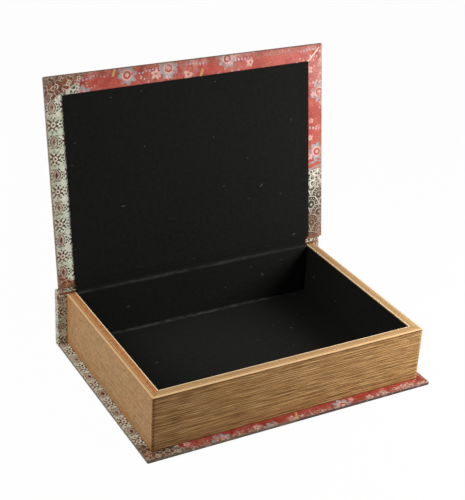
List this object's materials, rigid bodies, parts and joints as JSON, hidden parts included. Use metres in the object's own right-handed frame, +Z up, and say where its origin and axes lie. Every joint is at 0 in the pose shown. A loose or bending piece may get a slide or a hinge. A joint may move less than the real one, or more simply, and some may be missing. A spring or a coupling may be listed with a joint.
{
  "type": "book-shaped hide-away box",
  "caption": "Hollow box in the form of a hardback book: a lined wooden tray with page-edge walls stands in a case of printed boards, whose front cover is the lid on a cloth joint.",
  "frame": {"origin": "centre of the base's underside, on the surface that the box rests on", "axes": "+X along the spine towards the head, +Z up, -Y towards the fore-edge, so the spine is at +Y"},
  "size_m": [0.261, 0.2085, 0.2347],
  "materials": {
    "greyboard": "pressed grey board",
    "printed_sheet": "printed sheet with a thin satin coat",
    "black_felt": "short black felt-like nap",
    "page_edge_wood": "sealed wood fibre board, grooved outside",
    "base_panel": "bare thin fibre board"
  },
  "bodies": {
    "base": {"back_cover_board": "greyboard", "back_cover_wrap": "printed_sheet", "spine_board": "greyboard", "spine_wrap": "printed_sheet", "joint_strip": "printed_sheet", "hinge_lining": "black_felt", "fore_edge_wall": "page_edge_wood", "head_wall": "page_edge_wood", "tail_wall": "page_edge_wood", "spine_side_wall": "page_edge_wood", "tray_base_panel": "base_panel", "fore_edge_lining": "black_felt", "head_lining": "black_felt", "tail_lining": "black_felt", "spine_side_lining": "black_felt", "floor_lining": "black_felt"},
    "lid": {"front_cover_board": "greyboard", "front_cover_wrap": "printed_sheet", "front_cover_lining": "black_felt"}
  },
  "joints": [
    {"name": "lid_hinge", "type": "hinge", "parent": "base", "child": "lid", "pos_m": [0, 0.08745, 0.05523], "axis": [-1, 0, 0], "range_deg": [-98.5, 81.5], "deforming": ["joint_strip", "hinge_lining"]}
  ]
}
